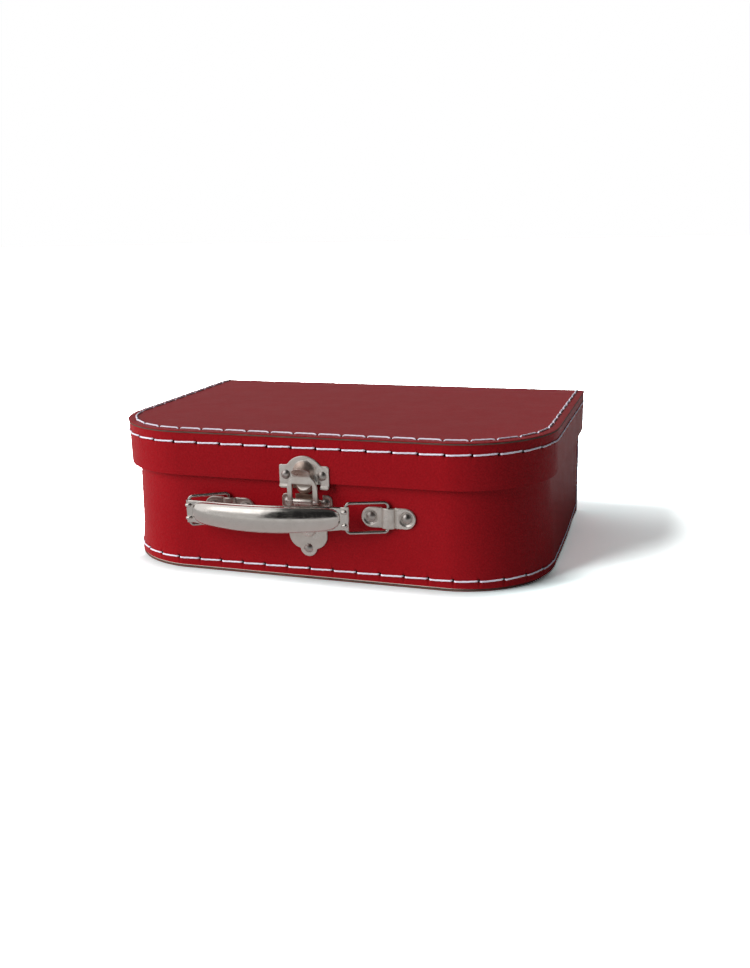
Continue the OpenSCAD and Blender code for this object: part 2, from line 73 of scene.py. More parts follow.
def make_camera():
    yaw, pitch, roll = (radians(a) for a in CAMERA_YAW_PITCH_ROLL)
    level = Matrix(((1, 0, 0), (0, 0, -1), (0, 1, 0)))
    tilt = Matrix.Rotation(roll, 3, "Z") @ Matrix.Rotation(pitch, 3, "X")
    right, down, ahead = tilt @ level @ Matrix.Rotation(yaw, 3, "Z")
    data = bpy.data.cameras.new("camera")
    data.sensor_width = SENSOR
    data.lens = FOCAL_PX / IMAGE_LONG_SIDE_PX * SENSOR
    data.clip_start, data.clip_end = 0.01, 20
    camera = bpy.data.objects.new("camera", data)
    facing = Matrix((right, -down, -ahead)).transposed().to_4x4()
    camera.matrix_world = Matrix.Translation(Vector(CAMERA_AT) * MM) @ facing
    scene.collection.objects.link(camera)
    scene.camera = camera


# Sizes in millimetres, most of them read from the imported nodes
def box_mm(node):
    lo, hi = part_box(node)
    return Vector(lo) / MM, Vector(hi) / MM


panel_lo, panel_hi = box_mm("lid_board")
top_lo, top_hi = box_mm("lid_top_cover")
lid_band_lo, lid_band_hi = box_mm("lid_band_cover")
base_band_lo, base_band_hi = box_mm("base_band_cover")
_, base_board_hi = box_mm("base_band")
_, base_lining_hi = box_mm("base_band_lining")
_, back_hi = box_mm("back_cover")
back_lining_lo, _ = box_mm("back_lining")
side_row_lo, side_row_hi = box_mm("lid_thread_side")
_, top_row_hi = box_mm("lid_thread_top")
base_row_lo, base_row_hi = box_mm("base_thread")
rear_row_lo, rear_row_hi = box_mm("rear_thread")

HALF_W = panel_hi.x
FRONT_Y = panel_lo.y
REAR_Y = back_hi.y
BACK_IN = back_lining_lo.y
TOP_Z = top_hi.z
LID_Z = lid_band_lo.z
PANEL_Z = lid_band_hi.z
CORNER_R = 62
THREAD_R = (side_row_hi.z - side_row_lo.z) / 2
STITCH = 16.2
STITCH_GAP = 1.6
LID_ROW_Z = (side_row_lo.z + side_row_hi.z) / 2
BASE_ROW_Z = (base_row_lo.z + base_row_hi.z) / 2
TOP_ROW_IN = HALF_W - top_row_hi.x + THREAD_R
LID_INSET = HALF_W - lid_band_hi.x
BASE_INSET = HALF_W - base_band_hi.x


SIDES = ((-1, "left"), (1, "right"))


def smooth(a, b, x):
    t = min(1, max(0, (x - a) / (b - a)))
    return t * t * (3 - 2 * t)


def arc(u):
    """Height of a quarter circle of radius 1 at the distance u from its middle"""
    return sqrt(max(0, 1 - u * u))


def lift(z):
    return Vector((0, 0, z))


def circle(sides):
    """Cosines and sines of equal steps round a circle"""
    turns = [2 * pi * j / sides for j in range(sides)]
    return [(cos(turn), sin(turn)) for turn in turns]


def mesh_object(name, points, faces, material, layers=None, sharp=45):
    """A new object from points in millimetres, smooth but for edges sharper than the angle sharp"""
    mesh = bpy.data.meshes.new(name)
    mesh.from_pydata([Vector(p) * MM for p in points], [], faces)
    for key, values in (layers or {}).items():
        mesh.attributes.new(key, "FLOAT", "POINT").data.foreach_set("value", values)
    mesh.validate()
    mesh.materials.append(material)
    mesh.polygons.foreach_set("use_smooth", [True] * len(mesh.polygons))
    mesh.set_sharp_from_angle(angle=radians(sharp))
    piece = bpy.data.objects.new(name, mesh)
    scene.collection.objects.link(piece)
    return piece


def grid_faces(rows, columns, closed=False, ring=False, start=0):
    """Faces of a grid of points stored row by row. closed joins the last column to the first, and ring the
    last row to the first."""
    faces = []
    for i in range(rows if ring else rows - 1):
        for j in range(columns if closed else columns - 1):
            k = (j + 1) % columns
            a, b = start + i * columns, start + (i + 1) % rows * columns
            faces.append((a + j, a + k, b + k, b + j))
    return faces


def turned(faces):
    """The faces with their other side out"""
    return [tuple(reversed(f)) for f in faces]


def thicken(points, faces, back):
    """Closes a surface into a solid. back holds each point's place on the far side."""
    count = len(points)
    edges = {(a, b) for f in faces for a, b in zip(f, f[1:] + f[:1])}
    rim = [(b, a, a + count, b + count) for a, b in sorted(edges) if (b, a) not in edges]
    far = [tuple(k + count for k in f) for f in turned(faces)]
    return points + back, faces + far + rim


def join(parts):
    """One list of points and one of faces from many (points, faces)"""
    points, faces = [], []
    for more_points, more_faces in parts:
        faces += [tuple(i + len(points) for i in f) for f in more_faces]
        points += more_points
    return points, faces


# Materials


class Nodes:
    """Short ways to add shader nodes to a material or a world"""

    def __init__(self, owner):
        owner.use_nodes = True
        self.tree = owner.node_tree

    def plug(self, node, inputs):
        for key, value in inputs.items():
            if isinstance(value, bpy.types.NodeSocket):
                self.tree.links.new(value, node.inputs[key])
            else:
                node.inputs[key].default_value = value

    def add(self, kind, inputs, **settings):
        node = self.tree.nodes.new("ShaderNode" + kind)
        for key, value in settings.items():
            setattr(node, key, value)
        self.plug(node, inputs)
        return node

    def spread(self, value, low, high, to_low=0.0, to_high=1.0, kind="LINEAR"):
        inputs = {"Value": value, "From Min": low, "From Max": high, "To Min": to_low, "To Max": to_high}
        return self.add("MapRange", inputs, interpolation_type=kind).outputs["Result"]

    def math(self, operation, a, b):
        return self.add("Math", {0: a, 1: b}, operation=operation).outputs[0]

    def times(self, a, b):
        return self.math("MULTIPLY", a, b)

    def most(self, first, *others):
        for other in others:
            first = self.math("MAXIMUM", first, other)
        return first


class Shader(Nodes):
    """A material with a principled shader"""

    def __init__(self, name, **sockets):
        self.material = bpy.data.materials.new(name)
        super().__init__(self.material)
        self.surface = self.tree.nodes["Principled BSDF"]
        self.place = self.add("TexCoord", {}).outputs["Object"]
        self.plug(self.surface, {key.replace("_", " "): value for key, value in sockets.items()})

    def stretched(self, x, y, z):
        return self.add("Mapping", {"Vector": self.place, "Scale": (x, y, z)}).outputs["Vector"]

    def noise(self, per_metre, detail=3, rough=0.5, vector=None):
        inputs = {"Vector": vector or self.place, "Scale": per_metre, "Detail": detail, "Roughness": rough}
        return self.add("TexNoise", inputs).outputs["Fac"]

    def mix(self, factor, a, b, blend="MIX"):
        inputs = {0: factor, 6: a, 7: b}
        return self.add("Mix", inputs, data_type="RGBA", blend_type=blend).outputs[2]

    def layer(self, name):
        return self.add("Attribute", {}, attribute_name=name).outputs["Fac"]

    def bump(self, height, depth_mm):
        inputs = {"Height": height, "Distance": depth_mm * MM, "Strength": 1.0}
        return self.add("Bump", inputs).outputs["Normal"]

    def dull_in(self, amount, gloss):
        """Takes the gloss away where the amount is 1"""
        level = self.times(self.math("SUBTRACT", 1.0, amount), gloss)
        self.plug(self.surface, {"Specular IOR Level": level})

    def show_only(self, node):
        """Puts another shader node in place of the principled one"""
        self.tree.links.new(node.outputs[0], self.tree.nodes["Material Output"].inputs["Surface"])

    def finish(self, color, rough, normal):
        self.plug(self.surface, {"Base Color": color, "Roughness": rough, "Normal": normal})
        return self.material


RED = (0.30, 0.0055, 0.010, 1)
RED_WORN = (0.34, 0.010, 0.016, 1)
# RED_DEEP darkens the grain's valleys and is also painted shade round the stitches; the near black after it
# is painted shade in the stitch holes
RED_DEEP = (0.15, 0.002, 0.004, 1)
HOLE_SHADE = (0.010, 0.002, 0.003, 1)
PAPER_GLOSS = 0.08
THREAD_GLOSS = 0.12


def red_paper(name, sewn=False):
    """Embossed leather-grain cover paper: fine soft wrinkles and pores, with a little gloss, and painted
    shade round the stitches when sewn
    """
    s = Shader(name, Specular_IOR_Level=PAPER_GLOSS)
    bent = s.noise(60, 2)
    shift = s.add("TexNoise", {"Vector": s.place, "Scale": 420, "Detail": 2}).outputs["Color"]
    scaled = s.add("VectorMath", {0: shift, "Scale": 0.0012}, operation="SCALE").outputs["Vector"]
    warp = s.add("VectorMath", {0: s.place, 1: scaled}, operation="ADD").outputs["Vector"]
    inputs = {"Vector": warp, "Scale": 900, "Smoothness": 0.8}
    pebble = s.add("TexVoronoi", inputs, feature="SMOOTH_F1").outputs["Distance"]
    valley = s.spread(pebble, 0.25, 0.7)
    fine = s.noise(3200, 2)
    blotch = s.noise(14, 3, 0.5)
    color = s.mix(s.spread(blotch, 0.4, 0.7, 0, 0.3), RED, RED_WORN)
    color = s.mix(s.times(valley, 0.18), color, RED_DEEP)
    # Painted shade round the stitches, from the sewn paper's layer: deep red in the creases and under the
    # thread, near black in the holes
    if sewn:
        stitch_shade = s.layer("stitch_shade")
        hole = s.spread(stitch_shade, 0.5, 0.75)
        color = s.mix(s.spread(stitch_shade, 0, 0.5), color, RED_DEEP)
        color = s.mix(hole, color, HOLE_SHADE)
        s.dull_in(hole, PAPER_GLOSS)
    rough = s.spread(bent, 0.3, 0.7, 0.38, 0.42)
    normal = s.bump(s.math("SUBTRACT", s.times(fine, 0.3), valley), 0.05)
    return s.finish(color, rough, normal)


def raw_board():
    """Pressed board with its cut edge showing: thin layers along it, rubbed and fibrous"""
    s = Shader("raw_board", Specular_IOR_Level=0.2)
    layers = s.noise(260, 4, 0.7, s.stretched(0.35, 0.35, 12))
    fibre = s.noise(1500, 3)
    blotch = s.noise(45, 3)
    color = s.mix(s.spread(layers, 0.35, 0.65), (0.040, 0.024, 0.020, 1), (0.17, 0.12, 0.095, 1))
    color = s.mix(s.spread(blotch, 0.4, 0.7, 0, 0.4), color, (0.12, 0.04, 0.035, 1))
    height = s.math("ADD", s.times(layers, 0.6), s.times(fibre, 0.4))
    return s.finish(color, 0.85, s.bump(height, 0.25))


def lining_paper():
    """Plain matt paper with faint fibres"""
    s = Shader("lining_paper", Specular_IOR_Level=0.25)
    fibre = s.noise(900, 4, 0.7)
    cloud = s.noise(30, 3)
    color = s.mix(s.spread(cloud, 0.3, 0.7), (0.70, 0.65, 0.56, 1), (0.76, 0.72, 0.64, 1))
    color = s.mix(s.spread(fibre, 0.55, 0.75, 0, 0.25), color, (0.50, 0.44, 0.36, 1))
    return s.finish(color, 0.8, s.bump(fibre, 0.04))


def thread():
    """Waxed white thread with its fine yarn, and painted shade where its ends sink into the holes"""
    s = Shader("thread", Specular_IOR_Level=THREAD_GLOSS)
    yarn = s.noise(4200, 2)
    soil = s.noise(120, 3)
    color = s.mix(s.spread(soil, 0.45, 0.75), (0.88, 0.86, 0.97, 1), (0.70, 0.66, 0.78, 1))
    # Painted shade at the stitch ends, where the thread goes into the holes
    sunk = s.layer("sunk")
    color = s.mix(sunk, color, (0.012, 0.003, 0.005, 1))
    s.dull_in(sunk, THREAD_GLOSS)
    return s.finish(color, 0.6, s.bump(yarn, 0.08))


# A brown tone for tarnish and for painted shade and painted reflection on the plating
TARNISH_AND_SHADE = (0.34, 0.23, 0.18, 1)


def metal(name, color, dull, rough, wear, brush=(0.25, 1, 1), metallic=1.0):
    """Nickel plating with fine scratches, cloudy patches, and tarnish with painted shade from its layer.
    brush stretches the scratches.
    """
    s = Shader(name, Metallic=metallic)
    cloud = s.noise(180, 4, 0.6)
    scratch = s.noise(2200, 3, 0.6, s.stretched(*brush))
    tone = s.mix(s.spread(cloud, 0.35, 0.7, 0, wear), color, dull)
    # Tarnish and painted shade, from the piece's layer
    tone = s.mix(s.layer("tarnish_and_shade"), tone, TARNISH_AND_SHADE)
    spots = s.noise(700, 2)
    cloudy = s.spread(cloud, 0.3, 0.7, rough - 0.06, rough + 0.08)
    spotted = s.math("ADD", cloudy, s.spread(spots, 0.6, 0.8, 0, 0.08))
    return s.finish(tone, spotted, s.bump(scratch, 0.012))


PAPER_SEWN = red_paper("red_paper_sewn", True)
SLOT_MATERIAL = {
    "red_paper": red_paper("red_paper"),
    "raw_board": raw_board(),
    "lining_paper": lining_paper(),
    "thread": thread(),
    "nickel_sheet": metal("sheet", (0.71, 0.665, 0.62, 1), (0.58, 0.51, 0.45, 1), 0.31, 0.5, metallic=0.9),
    "nickel_rivet": metal("rivet", (0.52, 0.48, 0.45, 1), (0.38, 0.34, 0.31, 1), 0.34, 0.5),
    "nickel_wire": metal("wire", (0.60, 0.57, 0.54, 1), (0.40, 0.36, 0.33, 1), 0.17, 0.6, (1, 1, 0.3)),
    "nickel_grip": metal("grip", (0.71, 0.67, 0.63, 1), (0.60, 0.56, 0.52, 1), 0.16, 0.5),
    "spring_steel": metal("spring", (0.35, 0.37, 0.42, 1), (0.25, 0.24, 0.26, 1), 0.3, 0.6),
}
SLOT_OF = {entry["node"]: entry["material_slot"] for entry in frame["record"]["subparts"]}


def dress_nodes():
    for name, piece in frame["nodes"].items():
        piece.data.materials.clear()
        piece.data.materials.append(SLOT_MATERIAL[SLOT_OF[name]])


def part(name, points, faces, slot, body=None, node=None, layers=None, sharp=45):
    """A piece that moves with the body and has its slot's material. It replaces the node, if one is given."""
    material = PAPER_SEWN if layers and "stitch_shade" in layers else SLOT_MATERIAL[slot]
    piece = mesh_object(name, points, faces, material, layers, sharp)
    if body:
        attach(piece, body)
    if node:
        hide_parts(node)
    return piece


# Cover papers and walls


class Loop:
    """The U-shaped line round the case at an inset, from its left rear corner to its right one"""

    def __init__(self, inset, rear=BACK_IN):
        self.half = HALF_W - inset
        self.r = CORNER_R - inset
        self.front = FRONT_Y + inset
        self.rear = rear
        self.side = rear - (self.front + self.r)
        self.arc = self.r * pi / 2
        self.flat = 2 * (self.half - self.r)
        self.length = 2 * self.side + 2 * self.arc + self.flat

    def at(self, t):
        """(point, outward direction) at the share t of the way round"""
        s = t * self.length
        ends = (self.side, self.side + self.arc, self.side + self.arc + self.flat)
        if s < ends[0]:
            return Vector((-self.half, self.rear - s, 0)), Vector((-1, 0, 0))
        if s < ends[1]:
            return self.corner(-1, pi + (s - ends[0]) / self.r)
        if s < ends[2]:
            return Vector((self.r - self.half + s - ends[1], self.front, 0)), Vector((0, -1, 0))
        if s < ends[2] + self.arc:
            return self.corner(1, 1.5 * pi + (s - ends[2]) / self.r)
        return Vector((self.half, self.front + self.r + s - ends[2] - self.arc, 0)), Vector((1, 0, 0))

    def corner(self, side, turn):
        out = Vector((cos(turn), sin(turn), 0))
        return Vector((side * (self.half - self.r), self.front + self.r, 0)) + out * self.r, out


def row_holes(inset, middle_stitch):
    """Shares of the way round at which a sewn row has its holes"""
    half = Loop(inset).length / 2
    first = 0.5 if middle_stitch else 0
    count = round(half / STITCH - first)
    pitch = half / (count + first)
    right = [(i + first) * pitch for i in range(count + 1)]
    right[-1] -= STITCH_GAP / 2
    left = [-s for s in reversed(right) if s > 0]
    return [0.5 + s / (2 * half) for s in left + right]


LID_HOLES = row_holes(LID_INSET - THREAD_R, True)
TOP_HOLES = row_holes(TOP_ROW_IN, True)
BASE_HOLES = row_holes(BASE_INSET - THREAD_R, False)


def dent(along, across, wide, tall):
    """A soft bump of height 1 at a distance along and across a row"""
    return exp(-((along / wide) ** 2) - (across / tall) ** 2)


def hole_pull(t, across, holes, length, rise=0.25):
    """(depth, painted shade) of a thread's pull on the paper: the nearest hole at the height rise, a crease
    across the row, a groove under the stitch, and a swelling beside the hole. The shade is painted into the
    hole and the crease, with a painted shadow under the thread."""
    hole_deep, crease_deep, groove_deep, swell_high = 0.9, 0.2, 0.16, 0.22
    # Painted shade: near black in the hole, light in the crease, and a painted shadow just under the thread
    hole_dark, crease_dark, shadow_dark = 1.5, 0.12, 0.16
    swell_along, swell_across, shadow_below = 1.9, 1.7, 0.55
    along = (min(holes, key=lambda hole: abs(hole - t)) - t) * length
    up = across - rise
    hole = dent(along, up, 0.85, 1.0)
    crease = dent(along, up, 0.7, 2.0)
    groove = dent(0, across, 1, 0.9)
    swell = dent(abs(along) - swell_along, across - copysign(swell_across, along), 1.0, 1.5)
    shadow = dent(0, across + shadow_below, 1, 0.45)
    depth = max(hole_deep * hole, crease_deep * crease, groove_deep * groove) - swell_high * swell
    return depth, min(1, max(hole_dark * hole, crease_dark * crease + shadow_dark * shadow))


PAPER_T = 0.2
PAPER_DENT = 0.185


def in_paper(depth):
    """A dent's depth, kept within the thickness of the paper, so that the board under it doesn't show"""
    return PAPER_DENT * tanh(depth / PAPER_DENT)


def column_shares(holes, length):
    """Shares of the way round for a wall's columns of points, close together round each hole"""
    found = {0.0, 1.0}
    away = (0, 0.22, 0.45, 0.7, 1.05, 1.6, 2.4, 3.6)
    narrowest, widest = 0.15, 2.4
    for t in holes:
        for d in away:
            found.update(min(1.0, max(0.0, t + sign * d / length)) for sign in (-1, 1))
    spaced = [0.0]
    for t in sorted(found):
        gap = (t - spaced[-1]) * length
        if gap < narrowest and t < 1:
            continue
        pieces = ceil(gap / widest)
        first = spaced[-1]
        spaced += [first + (t - first) * k / pieces for k in range(1, pieces + 1)]
    return spaced


def uneven(p, size, amount):
    """Height of the soft waves at a point, from -amount to amount"""
    return amount * noise.noise(Vector(p) / size)


def wall(name, section, shares, slot, body, node, sewn=False):
    """A wall that follows the U. section gives the closed cross-section at a share t as (point, painted
    shade).
    Its faces are turned outward about their first corners, which keeps their diagonals."""
    points, dark = zip(*[spot for t in shares for spot in section(t)])
    around = len(points) // len(shares)
    last = (len(shares) - 1) * around
    faces = grid_faces(len(shares), around, closed=True)
    faces += [tuple(reversed(range(around))), tuple(last + k for k in range(around))]
    part(name, points, faces, slot, body, node, {"stitch_shade": dark} if sewn else None).data.flip_normals()


PLAIN_SHARES = [k / 400 for k in range(401)]


def levels(z0, z1, row_z, coarse=4.0):
    """Heights of a wall's rows of points, close together round the sewn row"""
    found = [z0]
    while True:
        away = abs(found[-1] - row_z)
        step = 0.35 if away < 1.6 else 0.7 if away < 4.2 else coarse
        if found[-1] + 1.5 * step > z1:
            return found + [z1]
        found.append(found[-1] + step)


def lean(t, z):
    """How far the base wall leans: set out at the floor and in under the lid, round the corners and sides"""
    at_floor, to_lid, more_left, right_out = -0.8, 2.0, 1.7, 1.9
    share = smooth(0.12, 0.26, abs(t - 0.5))
    left = more_left * smooth(0.5, 0.24, t) * min(1, z / 20)
    corner = right_out * smooth(0.62, 0.76, t) * smooth(1.02, 0.84, t) * (1 - smooth(5, 60, z))
    tied = smooth(0, 0.1, min(t, 1 - t))
    return tied * share * (at_floor + to_lid * min(1, z / LID_Z) + left) - corner


HOLE_ROOM = 0.6
WAVE = 60


def base_section(inset, thick, sewn):
    """The cross-section of a layer of the base wall. The sewn layer, the paper, has room behind its holes."""
    outer, inner = Loop(BASE_INSET + inset), Loop(BASE_INSET + inset + thick)
    z0, z1 = base_band_lo.z, base_band_hi.z
    heights = levels(z0, z1, BASE_ROW_Z) if sewn else [z0 + (z1 - z0) * k / 16 for k in range(17)]
    room = HOLE_ROOM if sewn else 0

    def section(t):
        found = []
        point, out = outer.at(t)
        for z in heights:
            depth, dark = hole_pull(t, z - BASE_ROW_Z, BASE_HOLES, outer.length) if sewn else (0, 0)
            wave = uneven((point.x, point.y, z), WAVE, 0.15) * smooth(0, 20, z) if sewn else 0
            inward = min(depth, HOLE_ROOM) + lean(t, z) + wave * smooth(0.1, 0.2, abs(t - 0.5))
            found.append((point - out * inward + lift(z), dark))
        point, out = inner.at(t)
        for z in reversed(heights[:-1:4] + [heights[-1]]):
            found.append((point - out * (lean(t, z) + room) + lift(z), 0))
        return found

    return section


def base_walls():
    cover_t = base_band_hi.x - base_board_hi.x
    board_t = base_board_hi.x - base_lining_hi.x
    set_back, lining_t = 0.5, 0.15
    plan = (
        ("base_wall_paper", 0, cover_t, "red_paper", "base_band_cover"),
        ("base_wall_board", cover_t + set_back, board_t - set_back, "raw_board", "base_band"),
        ("base_wall_lining", cover_t + board_t, lining_t, "lining_paper", "base_band_lining"),
    )
    for name, inset, thick, slot, node in plan:
        sewn = slot == "red_paper"
        shares = column_shares(BASE_HOLES, Loop(BASE_INSET).length) if sewn else PLAIN_SHARES
        wall(name, base_section(inset, thick, sewn), shares, slot, "base", node, sewn)


def lid_wall():
    """The paper on the lid's wall, with an eased lower edge and a back that lies inside the board"""
    outer, inner = Loop(LID_INSET), Loop(LID_INSET + PAPER_T)
    tuck = 0.3
    heights = levels(LID_Z, PANEL_Z, LID_ROW_Z, coarse=2.5)

    def section(t):
        found = []
        point, out = outer.at(t)
        for z in heights:
            depth, dark = hole_pull(t, z - LID_ROW_Z, LID_HOLES, outer.length, -0.3)
            edge = 0.06 * (1 - smooth(LID_Z, LID_Z + 1.2, z))
            free = smooth(0.05, 0.1, abs(t - 0.5))
            wave = uneven((point.x, point.y, z), WAVE, 0.14) * free
            found.append((point - out * in_paper(depth + edge + max(0, wave)) + lift(z), dark))
        point, out = inner.at(t)
        for z in (PANEL_Z, LID_Z):
            found.append((point - out * tuck + lift(z), 0))
        return found

    shares = column_shares(LID_HOLES, outer.length)
    wall("lid_wall_paper", section, shares, "red_paper", "lid", "lid_band_cover", True)


def top_paper():
    """The paper on the lid's top: rings of points along its edges, then a fan to its rear edge"""
    rear = top_hi.y
    fan, eased, faded, row_reach = 10, 0.12, 0.8, 5
    row = [3.5 + 0.35 * k for k in range(13)]
    insets = [-eased, 0.25, 0.9, 1.6, 2.3, 3.0] + row + [8.4, 9.4, 11, 14, 18]
    rings = [Loop(inset, rear) for inset in insets]
    row_length = Loop(TOP_ROW_IN).length
    shares = column_shares(TOP_HOLES, row_length)
    points, dark = [], []
    for inset, ring in zip(insets, rings):
        for t in shares:
            p, out = ring.at(t)
            across = inset - TOP_ROW_IN
            near = abs(across) < row_reach
            depth, d = hole_pull(t, across, TOP_HOLES, row_length, -0.9) if near else (0, 0)
            edge = eased * (1 - smooth(0, 2.5, inset)) + (eased if inset < 0 else 0)
            points.append(p + lift(TOP_Z - edge - in_paper(depth)))
            # Painted shade round the stitches, faded
            dark.append(faded * d)
    inner = rings[-1]
    reach = inner.half - 2
    for k in range(1, fan + 1):
        for t in shares:
            p, out = inner.at(t)
            far = Vector((-reach + 2 * reach * t, rear, 0))
            q = p.lerp(far, k / fan)
            calm = smooth(0, 0.3, k / fan)
            points.append(q + lift(TOP_Z - calm * abs(uneven(q, 130, 0.12))))
            dark.append(0)
    under = [Vector((p.x, p.y, min(p.z - 0.05, top_lo.z - 0.4))) for p in points]
    points, faces = thicken(points, turned(grid_faces(len(rings) + fan, len(shares))), under)
    piece = part("lid_top_paper", points, faces, "red_paper", "lid", "lid_top_cover", {"stitch_shade": dark + dark})
    piece.data.flip_normals()


def crease_paper():
    """A strip of paper curved round the rear edge, from the back to the lid's top"""
    half = back_hi.x - 0.1
    steps, columns = 14, 60
    start, end = Vector((0, REAR_Y, back_hi.z)), Vector((0, top_hi.y, TOP_Z))
    corner = Vector((0, REAR_Y + 0.25, TOP_Z + 0.25))
    along = (start - end).normalized()
    inward = Vector((0, along.z, -along.y)) * 0.15
    points = []
    for k in range(steps + 1):
        t = k / steps
        p = end.lerp(corner, t).lerp(corner.lerp(start, t), t)
        points += [p + Vector((-half + 2 * half * j / columns, 0, 0)) for j in range(columns + 1)]
    points, faces = thicken(points, grid_faces(steps + 1, columns + 1), [p + inward for p in points])
    piece = part("crease_paper", points, faces, "red_paper")
    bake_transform(piece)


# Sewing


def tube(points, ups, radius, sides, closed=False, plies=0, taper=None, flat=1.0):
    """Points and faces of a tube. ups point away from the surface, plies is the number of twisted yarns,
    taper the share of the radius at each point, and flat makes it wider than high."""
    lay, ripple = 4.2, 0.12
    count = len(points)
    found = []
    run = 0
    for k, p in enumerate(points):
        before = points[k - 1] if k or closed else p
        after = points[(k + 1) % count] if closed or k + 1 < count else p
        ahead = (after - before).normalized()
        side = ahead.cross(ups[k]).normalized()
        up = side.cross(ahead)
        run += (p - points[k - 1]).length if k else 0
        for j in range(sides):
            turn = 2 * pi * j / sides
            wave = 1 + ripple * cos(plies * turn - 2 * pi * run / lay) if plies else 1
            r = radius * wave * (taper[k] if taper else 1)
            found.append(p + (side * cos(turn) * flat + up * sin(turn) / flat) * r)
    faces = turned(grid_faces(count, sides, closed=True, ring=closed))
    if not closed:
        faces += [tuple(range(sides)), tuple((count - 1) * sides + j for j in reversed(range(sides)))]
    return found, faces


def sewn_row(name, holes, place, body, node=None, radius=THREAD_R, drift=0.0, bow=0.0):
    """A row of stitches from hole to hole. place(t) gives (point, outward, across) on the surface.
    drift slants each stitch and bow bends both its ends across the row."""
    stitches, sunk = [], []
    steps, sides = 30, 12
    sink, proud, bent, sway, end_gap = 0.8, 0.7, 4.5, 0.16, 0.3
    for n, (t0, t1) in enumerate(zip(holes, holes[1:])):
        length = (place(t0)[0] - place(t1)[0]).length
        line, ups, depth = [], [], []
        wobble = sway * noise.noise(Vector((n * 3.7, len(holes), 0)))
        end = end_gap / length
        for k in range(steps + 1):
            share = end + (1 - 2 * end) * (0.5 - 0.5 * cos(pi * k / steps))
            point, out, across = place(t0 + (t1 - t0) * share)
            near = length * min(share, 1 - share)
            height = (sink + proud * radius) * smooth(0.4, 1.7, near) - sink
            bend = bow * (1 - arc(max(0, 1 - near / bent)))
            slide = bend + drift * (2 * share - 1) + wobble * smooth(0, 5, near)
            line.append(point + out * height + across * slide)
            ups.append(out)
            # How far painted shade darkens the thread towards its ends, where it sinks into the holes
            depth.append(1 - smooth(0.6, 0.95, near))
        stitches.append(tube(line, ups, radius, sides, plies=3, flat=1.12))
        sunk += [d for d in depth for _ in range(sides)]
    part(name, *join(stitches), "thread", body, node, {"sunk": sunk}, sharp=60)


SIDE_THREAD_R = 0.49


def all_sewing():
    up = lift(1)

    def on_top(t):
        p, out = Loop(TOP_ROW_IN).at(t)
        return p + up * TOP_Z, up, out

    def on_lid_wall(t):
        p, out = Loop(LID_INSET).at(t)
        return p + up * LID_ROW_Z, out, up

    def on_base_wall(t):
        p, out = Loop(BASE_INSET).at(t)
        return p + up * BASE_ROW_Z - out * lean(t, BASE_ROW_Z), out, up

    sewn_row("lid_top_sewing", TOP_HOLES, on_top, "lid", "lid_thread_top", bow=1.3)
    sewn_row("lid_wall_sewing", LID_HOLES, on_lid_wall, "lid", "lid_thread_side", SIDE_THREAD_R, 0.28)
    sewn_row("base_wall_sewing", BASE_HOLES, on_base_wall, "base", "base_thread", SIDE_THREAD_R, 0.3)
    count = 5
    z0, z1 = rear_row_lo.z - STITCH_GAP / 2, rear_row_hi.z + STITCH_GAP / 2
    holes = [k / count for k in range(count + 1)]
    wall_x = base_band_hi.x
    in_y = rear_row_lo.y + THREAD_R
    in_x = wall_x - 6
    rear = Vector((0, 1, 0))

    def upright(x, y, out, across):
        return lambda t: (Vector((x, y, z0 + (z1 - z0) * t)), out, across)

    for side, label in SIDES:
        aside = Vector((side, 0, 0))
        node = "rear_thread" if side < 0 else None
        on_side = upright(side * wall_x, in_y, aside, rear)
        on_back = upright(side * in_x, REAR_Y, rear, aside)
        sewn_row("rear_" + label + "_side_sewing", holes, on_side, "base", node)
        sewn_row("rear_" + label + "_back_sewing", holes, on_back, "base")


# Pressed metal


def disc(x, z, cx, cz, r):
    return hypot(x - cx, z - cz) - r


def round_box(x, z, cx, cz, w, h, r):
    qx, qz = abs(x - cx) - w / 2 + r, abs(z - cz) - h / 2 + r
    return hypot(max(qx, 0), max(qz, 0)) + min(max(qx, qz), 0) - r


def melt(a, b, k):
    """Joins two outlines with a fillet"""
    h = max(k - abs(a - b), 0) / k
    return min(a, b) - h * h * k / 4


def roll(d, edge):
    """Drop of a rounded edge at the distance d from the outline, negative inside"""
    u = min(1, max(0, 1 + d / edge))
    return edge * (1 - arc(u))


def covered(outline, box, step):
    """Points (x, z) and faces where the outline's distance is negative, cut smooth along its border"""
    x0, x1, z0, z1 = box
    nx, nz = ceil((x1 - x0) / step), ceil((z1 - z0) / step)
    value = [[outline(x0 + i * step, z0 + j * step) for j in range(nz + 1)] for i in range(nx + 1)]
    points, index = [], {}

    def node(i, j):
        if (i, j) not in index:
            index[(i, j)] = len(points)
            points.append((x0 + i * step, z0 + j * step))
        return index[(i, j)]

    def crossing(a, b):
        key = (a, b) if a < b else (b, a)
        if key not in index:
            (i, j), (k, m) = key
            t = min(0.97, max(0.03, value[i][j] / (value[i][j] - value[k][m])))
            index[key] = len(points)
            points.append((x0 + (i + (k - i) * t) * step, z0 + (j + (m - j) * t) * step))
        return index[key]

    faces = []
    for i in range(nx):
        for j in range(nz):
            corners = [(i, j), (i + 1, j), (i + 1, j + 1), (i, j + 1)]
            signs = [value[a][b] < 0 for a, b in corners]
            if not any(signs):
                continue
            face = []
            for c in range(4):
                d = (c + 1) % 4
                if signs[c]:
                    face.append(node(*corners[c]))
                if signs[c] != signs[d]:
                    face.append(crossing(corners[c], corners[d]))
            faces.append(tuple(face))
    return points, faces


